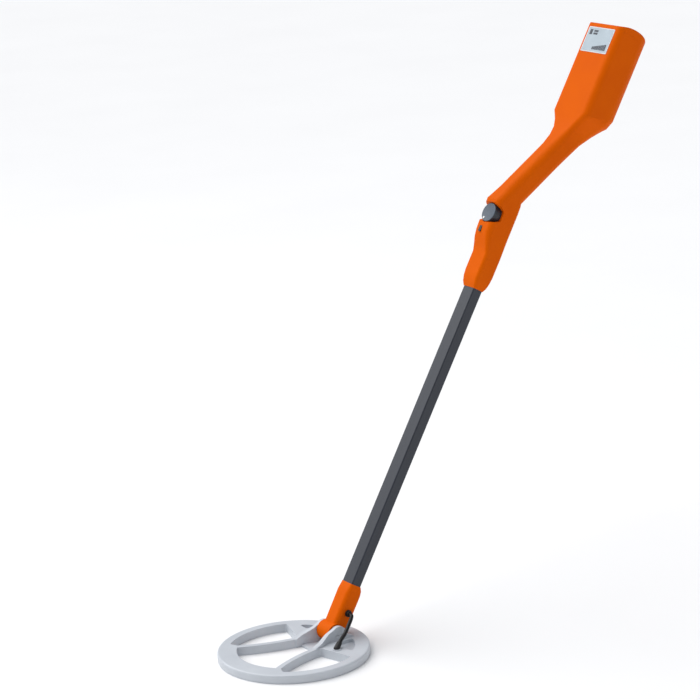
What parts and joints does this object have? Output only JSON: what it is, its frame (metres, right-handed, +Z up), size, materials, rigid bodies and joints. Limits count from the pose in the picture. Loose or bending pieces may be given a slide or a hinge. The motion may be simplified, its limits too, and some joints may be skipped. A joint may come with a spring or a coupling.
{
  "type": "metal detector",
  "caption": "Hand-held metal detector: round search coil on a tilting hinge, straight rectangular pole, angled grip with a tuning knob and an electronics housing.",
  "frame": {"origin": "centre of the search coil, on the ground plane that the coil lies on", "axes": "+Z up, -Y towards the front of the coil, +Y the way the pole leans back, X across; the coil cable is on the +X side"},
  "size_m": [0.219, 0.7597, 0.834],
  "materials": {
    "coil_abs": "light grey moulded ABS, fine satin",
    "casing_abs": "orange moulded ABS, fine satin",
    "tube_paint": "dark grey powder-coated aluminium tube",
    "knob_plastic": "blue-grey moulded plastic",
    "white_fill": "white inlay",
    "dark_fill": "black inlay",
    "label_silver": "satin silver label",
    "rubber_black": "black rubber",
    "cable_pvc": "black cable sheath",
    "nylon_grey": "grey nylon",
    "screw_steel": "zinc-plated steel",
    "copper": "enamelled copper wire",
    "board_green": "green glass-fibre laminate",
    "component_black": "black component cases",
    "battery_case": "printed steel battery case",
    "speaker_metal": "pressed steel speaker frame"
  },
  "bodies": {
    "handle": {"foot_socket": "casing_abs", "pole_tube": "tube_paint", "tube_screws": "screw_steel", "cable_grommet": "rubber_black", "coil_cable": "cable_pvc", "handle_right": "casing_abs", "handle_left": "casing_abs", "casing_screws": "screw_steel", "top_cap": "casing_abs", "potentiometer": "speaker_metal", "index_mark": "dark_fill", "label_plate": "label_silver", "circuit_board": "board_green", "board_parts": "component_black", "board_screws": "screw_steel", "speaker": "speaker_metal", "battery": "battery_case", "battery_snap": "component_black", "inner_lead": "cable_pvc"},
    "coil": {"coil_shell": "coil_abs", "coil_cover": "coil_abs", "cover_screws": "screw_steel", "transmit_winding": "copper", "receive_winding": "copper", "pivot_bolt": "nylon_grey", "pivot_nut": "nylon_grey", "friction_washers": "rubber_black", "coil_boot": "rubber_black"},
    "tuning_knob": {"knob": "knob_plastic", "knob_pointer": "white_fill", "knob_shaft": "screw_steel"},
    "door": {"battery_door": "casing_abs"}
  },
  "joints": [
    {"name": "coil_tilt", "type": "hinge", "parent": "handle", "child": "coil", "pos_m": [0, 0.064, 0.0205], "axis": [1, 0, 0], "range_deg": [-75, 30], "deforming": ["coil_cable"]},
    {"name": "knob_turn", "type": "hinge", "parent": "handle", "child": "tuning_knob", "pos_m": [0, 0.38018, 0.58471], "axis": [0, 0.8587, -0.5125], "range_deg": [0, 280]},
    {"name": "door_slide", "type": "slide", "parent": "handle", "child": "door", "axis": [0, -0.5125, -0.8587], "range_m": [0, 0.06]}
  ]
}
